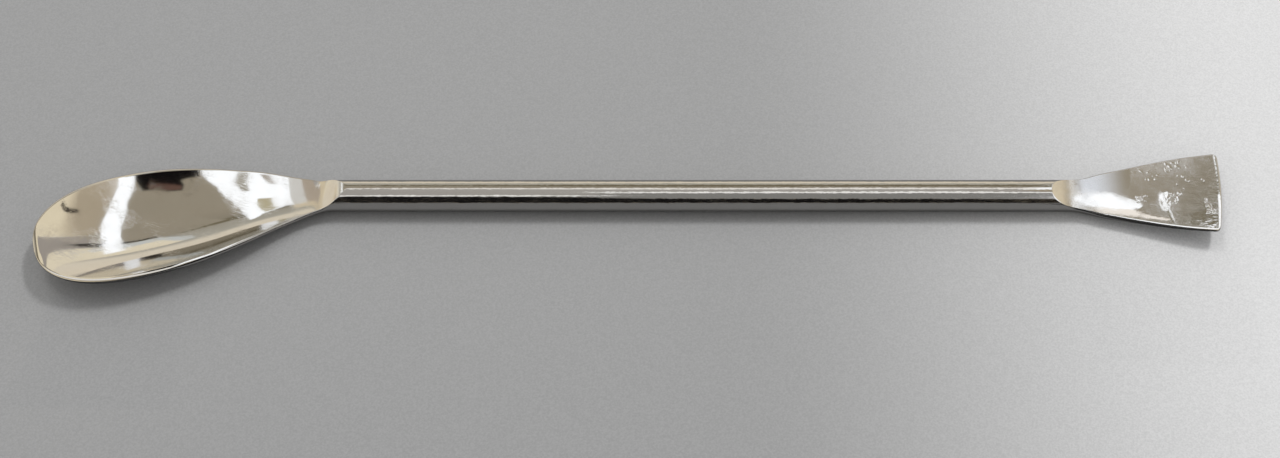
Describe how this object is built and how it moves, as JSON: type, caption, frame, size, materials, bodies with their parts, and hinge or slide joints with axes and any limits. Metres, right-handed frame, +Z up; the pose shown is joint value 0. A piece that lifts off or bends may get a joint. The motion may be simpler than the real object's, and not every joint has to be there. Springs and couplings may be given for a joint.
{
  "type": "lab spatula",
  "caption": "Polished steel lab spatula: a round rod forged into an oval scooping spoon at one end and a flared flat blade at the other.",
  "frame": {"origin": "on the axis of the round rod, midway between its two forged ends", "axes": "+X along the rod from the spoon to the blade, +Z up out of the open side of the spoon as the spatula lies on a table"},
  "size_m": [0.2001, 0.0277, 0.0057],
  "materials": {
    "polished_steel": "stainless steel polished to a mirror, with fine hairline scratches and a few small pits on the blade"
  },
  "bodies": {
    "root": {"spatula": "polished_steel"}
  },
  "joints": []
}
